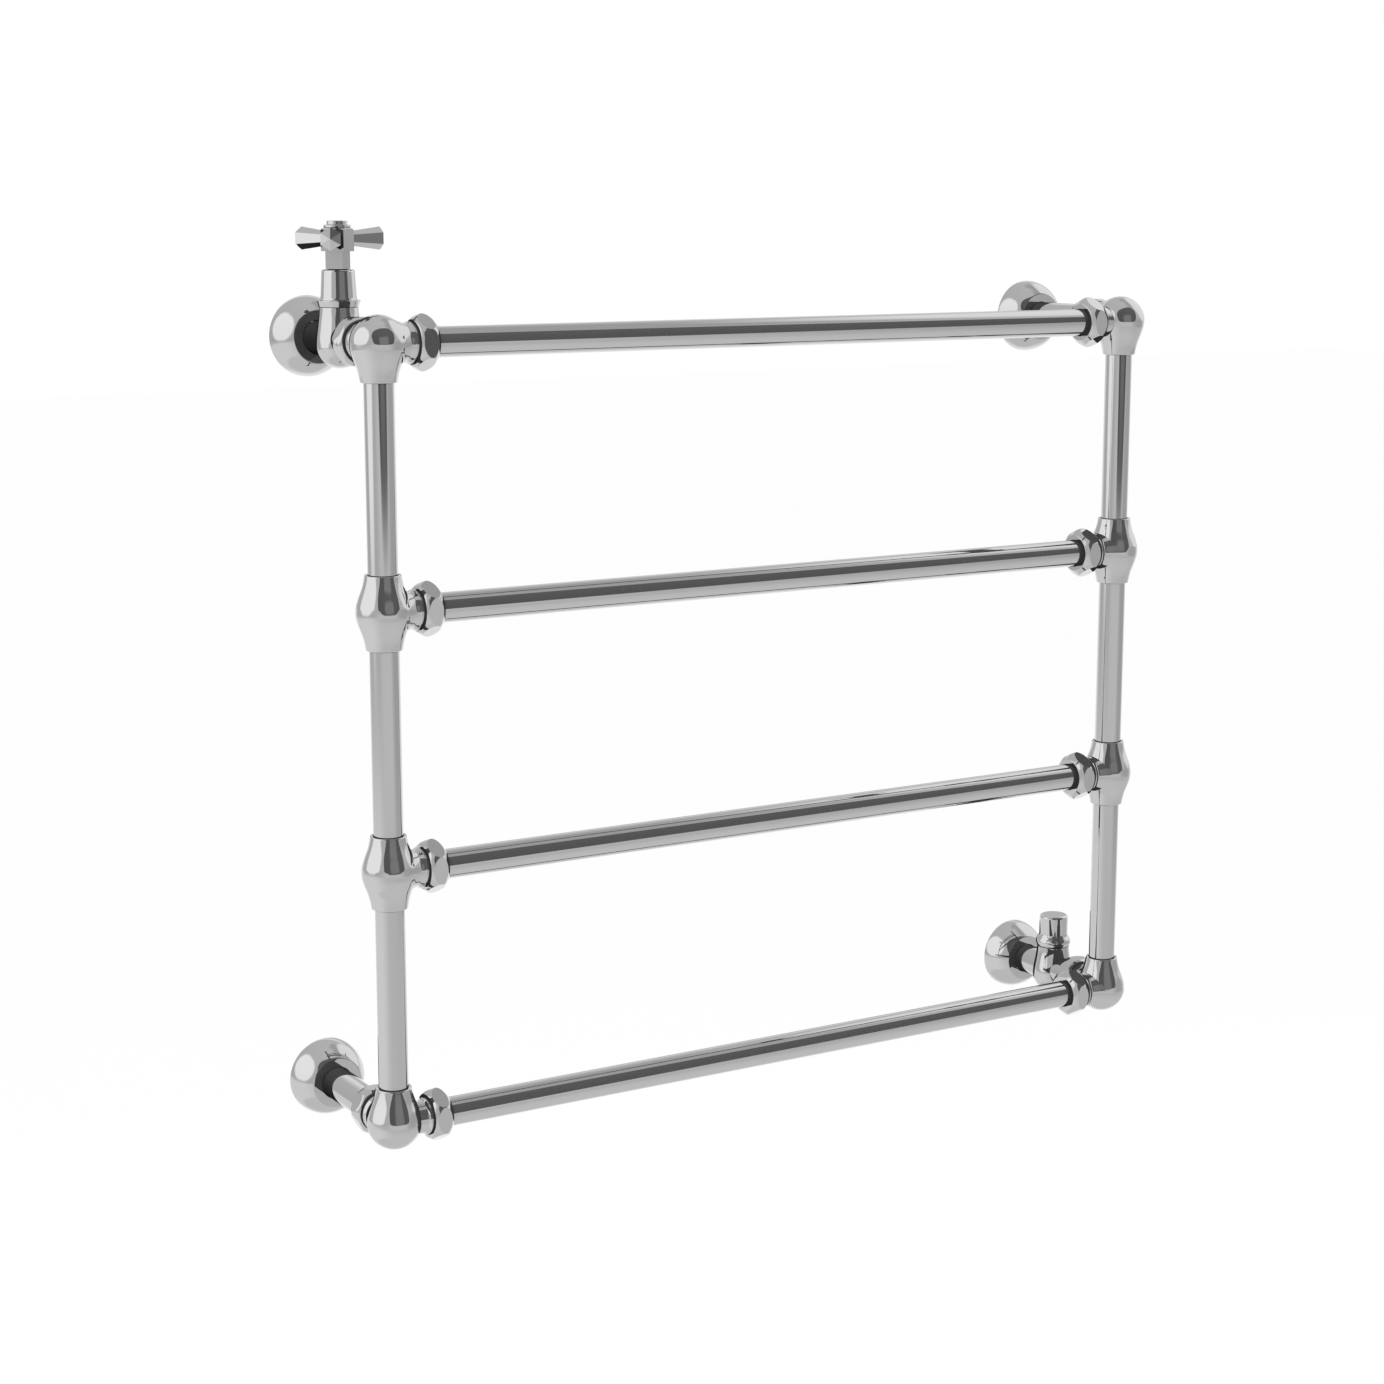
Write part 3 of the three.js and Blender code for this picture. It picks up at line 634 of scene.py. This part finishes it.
def buildRadiator():
    half, reach, pitch = layout["halfWidth"], layout["wallReach"], layout["railPitch"]
    valveY = layout["valveOffset"] - reach
    tee, corner = makeTee(), makeCorner()
    print("castings done")
    railNut = makeNut("railNut", nut["railCrest"], nut["railFlat"], nut["railHole"])
    wallNut = makeNut("wallNut", nut["wallCrest"], nut["wallFlat"], nut["wallHole"])
    print("nuts done")
    rail = makeTube("rail", 2 * (half - 20.3))
    upright = makeTube("upright", pitch - 2 * 14.8)
    wallFlange = makeFlange()
    unionBracket = makeBracket("unionBracket", reach - 38.3, True)
    valveBracket = makeBracket("valveBracket", reach - layout["valveOffset"] - 12.3, False)
    print("tubes and fixings done")
    # each corner casting turned over or not, then its quarter turn
    cornerTurns = {
        ("left", "top"): (0, 0), ("right", "top"): (0, pi / 2),
        ("left", "bottom"): (pi, -pi / 2), ("right", "bottom"): (pi, pi),
    }
    for level, height in railHeights.items():
        placed(rail, f"rail.{level}", at(0, -reach, height) @ facing("+X"), f"rail_{level}", tubeChrome)
    for side, sign in sides.items():
        x = sign * half
        for bay, top in (("top", 330), ("middle", 110), ("bottom", -110)):
            placed(upright, f"upright.{side}.{bay}", at(x, -reach, top - pitch / 2),
                   f"upright_{side}_{bay}", tubeChrome)
        for level, height in railHeights.items():
            centre = at(x, -reach, height)
            toRail = facing("-X" if sign > 0 else "+X")
            placed(railNut, f"railNut.{side}.{level}", centre @ toRail, f"rail_nut_{side}_{level}", chrome)
            if (side, level) not in cornerTurns:
                turn = Matrix.Rotation(pi if sign > 0 else 0, 4, "Z")
                placed(tee, f"tee.{side}.{level}", centre @ turn, f"tee_{side}_{level}", chrome)
                continue
            over, quarter = cornerTurns[side, level]
            turn = Matrix.Rotation(over, 4, "X") @ Matrix.Rotation(quarter, 4, "Z")
            placed(corner, f"corner.{side}.{level}", centre @ turn, f"corner_{side}_{level}", chrome)
            toWall = centre @ facing("+Y")
            placed(wallNut, f"wallNut.{side}.{level}", toWall, f"wall_nut_{side}_{level}", chrome)
            onWall = at(x, 0, height) @ facing("-Y")
            placed(wallFlange, f"wallFlange.{side}.{level}", onWall, f"wall_flange_{side}_{level}", chrome)
            valved = (side == "left") == (level == "top")
            placed(valveBracket if valved else unionBracket, f"wallBracket.{side}.{level}", onWall,
                   f"wall_bracket_{side}_{level}", chrome)
    cross = at(-half, valveY, 330)
    standing = cross @ Matrix.Rotation(radians(handle["standing"]), 4, "Z")
    shield = at(half, valveY, -330)
    placed(makeValveBody("valveBody", valve["crossTop"]), "valveBody.cross", cross, "valve_body", chrome)
    placed(makeBonnet(), "bonnet.cross", cross, "valve_bonnet", chrome)
    placed(makeHandle(), "crossHandle.top", standing, "cross_handle", chrome, "handle")
    placed(makeHandleCap(), "handleCap.top", standing, "handle_cap", chrome, "handle")
    print("crosshead valve done")
    placed(makeValveBody("shieldBody", valve["shieldTop"]), "valveBody.shield", shield,
           "lockshield_body", chrome)
    placed(makeShieldCap(), "shieldCap.bottom", shield, "lockshield_cap", chrome, "shield_cap")
    plug, screw = makeVent()
    ventPlace = at(half, -reach, 330) @ facing("+X")
    placed(plug, "ventPlug.top", ventPlace, "vent_plug", chrome)
    placed(screw, "ventScrew.top", ventPlace, "vent_screw", chrome, "bleed_screw")
    print("lockshield valve and vent done")


def dressFrame():
    dressed = {
        "valve_headwork": brass, "valve_spindle": brass, "jumper_valve": brass, "jumper_washer": rubber,
        "handle_screw": steel, "lockshield_headwork": brass, "lockshield_spindle": brass,
        "lockshield_plug": brass,
    }
    for node, material in dressed.items():
        data = frame["nodes"][node].data
        data.materials.clear()
        data.materials.append(material)


# studio: a big dome that only reflections see, in soft-edged areas of light and dark

studio = {
    "centre": (0, -0.146, 0), "radius": 14,
    "overhead": 0.605, "horizon": 0.57, "underHorizon": 0.62, "nadir": 0.745,
    # bands of the room: middle azimuth, half width, elevation from and to, level, softness across and up
    "bands": {
        "leftFloor": (-88, 59, -50, -11, 0.91, 39, 5),
        "rightFloor": (65, 35, -28.5, -13.5, 0.61, 30, 5),
        "wallFoot": (0, 230, -10.3, -0.9, 0.56, 5, 4),
        "middleFoot": (19, 39, -14, -1.2, 0.69, 14, 2.6),
        "rightFoot": (94, 25, -15, 8.7, 0.45, 17, 3.5),
        "overRight": (123.5, 47.5, 49.5, 71, 0.41, 7, 6.3),
        "rearLeft": (-176, 39, -17.7, -3, 1.13, 22, 4),
        "rearRight": (175.5, 39.5, -16.8, 2, 1.05, 22, 6),
        "rearFloor": (180, 35, -50, -16, 1.06, 15, 8),
        "rearHigh": (189, 24, 19, 28.8, 0.98, 9.5, 5),
    },
    # flat light boxes: azimuth, elevation, half width and half height and corner at a distance of one,
    # softness, level
    "boxes": {
        "leftBox": (-72, 22, 0.716, 0.574, 0.574, 0.086, 1.177),
        "rightBox": (127.9, 28.5, 0.572, 0.55, 0.55, 0.085, 1.0),
        "frontPanel": (30.6, 29.4, 0.984, 0.72, 0.57, 0.05, 0.04),
        "frontSheen": (30.2, 13.5, 0.329, 0.308, 0.143, 0.1, 0.185),
    },
}


def addStudio():
    clearSelection()
    bpy.ops.mesh.primitive_uv_sphere_add(segments=64, ring_count=32, radius=studio["radius"],
                                         location=studio["centre"])
    dome = bpy.context.object
    dome.name = "studioDome"
    material = bpy.data.materials.new("studioDome")
    material.use_nodes = True
    tree = material.node_tree
    tree.nodes.clear()

    def maths(operation, a, b=None, c=None):
        new = tree.nodes.new("ShaderNodeMath")
        new.operation = operation
        for socket, value in zip(new.inputs, (a, b, c)):
            if isinstance(value, (int, float)):
                socket.default_value = value
            elif value is not None:
                tree.links.new(value, socket)
        return new.outputs[0]

    def ramp(value, start, end, low=0.0, high=1.0):
        new = tree.nodes.new("ShaderNodeMapRange")
        new.interpolation_type = "SMOOTHSTEP"
        tree.links.new(value, new.inputs["Value"])
        for key, number in (("From Min", start), ("From Max", end), ("To Min", low), ("To Max", high)):
            new.inputs[key].default_value = number
        return new.outputs["Result"]

    def mixed(factor, a, b):
        return maths("ADD", a, maths("MULTIPLY", factor, maths("SUBTRACT", b, a)))

    where = tree.nodes.new("ShaderNodeTexCoord")
    turn = tree.nodes.new("ShaderNodeMapping")
    turn.inputs["Rotation"].default_value = (0, 0, radians(cameraSettings["yaw"]))
    tree.links.new(where.outputs["Object"], turn.inputs["Vector"])
    split = tree.nodes.new("ShaderNodeSeparateXYZ")
    tree.links.new(turn.outputs["Vector"], split.inputs["Vector"])
    x, y, z = split.outputs
    flat = maths("SQRT", maths("ADD", maths("MULTIPLY", x, x), maths("MULTIPLY", y, y)))
    elevation = maths("DEGREES", maths("ARCTAN2", z, flat))
    azimuth = maths("DEGREES", maths("ARCTAN2", x, maths("MULTIPLY", y, -1)))

    def along(axis):
        new = tree.nodes.new("ShaderNodeVectorMath")
        new.operation = "DOT_PRODUCT"
        tree.links.new(turn.outputs["Vector"], new.inputs[0])
        new.inputs[1].default_value = axis
        return new.outputs["Value"]

    above = ramp(elevation, 5, 85, studio["horizon"], studio["overhead"])
    below = ramp(elevation, -60, -3, studio["nadir"], studio["underHorizon"])
    level = mixed(ramp(elevation, -4, 0), below, above)
    for middle, half, low, high, value, across, up in studio["bands"].values():
        away = maths("ABSOLUTE", maths("WRAP", maths("SUBTRACT", azimuth, middle), 180, -180))
        rise = ramp(elevation, low - up, low + up)
        height = maths("MULTIPLY", rise, ramp(elevation, high - up, high + up, 1, 0))
        width = ramp(away, half - across, half + across, 1, 0)
        level = mixed(maths("MULTIPLY", width, height), level, value)
    for west, lift, halfWidth, halfHeight, corner, soft, value in studio["boxes"].values():
        a, e = radians(west), radians(lift)
        depth = maths("MAXIMUM", along((sin(a) * cos(e), -cos(a) * cos(e), sin(e))), 0.01)
        side = maths("ABSOLUTE", maths("DIVIDE", along((cos(a), sin(a), 0)), depth))
        rise = maths("ABSOLUTE", maths("DIVIDE", along((-sin(a) * sin(e), cos(a) * sin(e), cos(e))), depth))
        over = [maths("MAXIMUM", maths("SUBTRACT", side, halfWidth - corner), 0),
                maths("MAXIMUM", maths("SUBTRACT", rise, halfHeight - corner), 0)]
        reach = maths("SQRT", maths("ADD", maths("MULTIPLY", over[0], over[0]),
                                    maths("MULTIPLY", over[1], over[1])))
        level = mixed(ramp(reach, corner - soft, corner + soft, 1, 0), level, value)
    glow = tree.nodes.new("ShaderNodeEmission")
    tree.links.new(level, glow.inputs["Strength"])
    output = tree.nodes.new("ShaderNodeOutputMaterial")
    tree.links.new(glow.outputs[0], output.inputs["Surface"])
    dome.data.materials.append(material)
    dome.visible_camera = dome.visible_diffuse = dome.visible_shadow = False
    dome.visible_transmission = dome.visible_volume_scatter = False
    material.cycles.emission_sampling = "NONE"
    print("studio built")


# pale floor in metres under the lowest flange; the share that is not plain white keeps the shadow
flooring = {"size": 60, "drop": 1.6, "colour": (0.9, 0.9, 0.9, 1), "rough": 0.8, "white": 0.88}


def addFloor():
    height = cadBounds[0][2] - flooring["drop"]
    clearSelection()
    bpy.ops.mesh.primitive_plane_add(size=flooring["size"], location=(0, 0, height))
    floor = bpy.context.object
    floor.name = "floor"
    material, tree, shader = newMaterial("paleFloor")
    shader.inputs["Base Color"].default_value = flooring["colour"]
    shader.inputs["Roughness"].default_value = flooring["rough"]
    rays = tree.nodes.new("ShaderNodeLightPath")
    white = tree.nodes.new("ShaderNodeEmission")
    white.inputs["Strength"].default_value = 1
    mix = tree.nodes.new("ShaderNodeMixShader")
    either = tree.nodes.new("ShaderNodeMath")
    either.operation = "MAXIMUM"
    tree.links.new(rays.outputs["Is Camera Ray"], either.inputs[0])
    tree.links.new(rays.outputs["Is Transmission Ray"], either.inputs[1])
    part = tree.nodes.new("ShaderNodeMath")
    part.operation = "MULTIPLY"
    part.inputs[1].default_value = flooring["white"]
    tree.links.new(either.outputs[0], part.inputs[0])
    tree.links.new(part.outputs[0], mix.inputs["Fac"])
    tree.links.new(shader.outputs[0], mix.inputs[1])
    tree.links.new(white.outputs[0], mix.inputs[2])
    tree.links.new(mix.outputs[0], tree.nodes["Material Output"].inputs["Surface"])
    floor.data.materials.append(material)
    floor.visible_glossy = floor.visible_diffuse = floor.visible_shadow = False
    print("floor laid")


# name: place in metres, size, power; they light what is not mirror
lamps = {
    "keyLamp": ((-2.6, -3.2, 1.6), 2.4, 150),
    "fillLamp": ((2.8, -2.7, 1.0), 2.4, 108),
    "rearLamp": ((0.6, 3.6, 0.8), 2.4, 112),
    "lowLamp": ((-0.4, -1.4, -3.2), 2.4, 58),
}
sky = {"energy": 3.1, "angle": 0.6}     # soft sun straight down, even over the whole floor


def hungLamp(name, lamp):
    holder = bpy.data.objects.new(name, lamp)
    bpy.context.collection.objects.link(holder)
    holder.visible_glossy = False
    return holder


def addLight():
    world = bpy.data.worlds.new("studio")
    bpy.context.scene.world = world
    world.use_nodes = True
    tree = world.node_tree
    background = tree.nodes["Background"]
    rays = tree.nodes.new("ShaderNodeLightPath")
    seen = tree.nodes.new("ShaderNodeMath")
    seen.operation = "MAXIMUM"
    more = tree.nodes.new("ShaderNodeMath")
    more.operation = "MAXIMUM"
    tree.links.new(rays.outputs["Is Camera Ray"], seen.inputs[0])
    tree.links.new(rays.outputs["Is Glossy Ray"], seen.inputs[1])
    tree.links.new(seen.outputs[0], more.inputs[0])
    tree.links.new(rays.outputs["Is Transmission Ray"], more.inputs[1])
    tree.links.new(more.outputs[0], background.inputs["Strength"])
    background.inputs["Color"].default_value = (1, 1, 1, 1)
    world.cycles.sampling_method = "NONE"
    for name, (place, size, power) in lamps.items():
        lamp = bpy.data.lights.new(name, "AREA")
        lamp.size = size
        lamp.energy = power
        holder = hungLamp(name, lamp)
        holder.location = place
        toObject = Vector(studio["centre"]) - holder.location
        holder.rotation_euler = toObject.to_track_quat("-Z", "Y").to_euler()
    sun = bpy.data.lights.new("skyLamp", "SUN")
    sun.energy = sky["energy"]
    sun.angle = sky["angle"]
    hungLamp("skyLamp", sun)
    print("lamps hung")


addCamera()

# one true reflection, so that chrome seen in chrome stays dark, and no sparkle on the duller part
bpy.context.scene.cycles.glossy_bounces = 0
bpy.context.scene.cycles.caustics_reflective = False

buildRadiator()
dressFrame()
for source in [o for o in bpy.context.scene.objects if o.type == "MESH"]:
    if "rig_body" not in source:
        bpy.data.objects.remove(source)
addStudio()
addFloor()
addLight()
bpy.context.scene.view_settings.view_transform = "Standard"
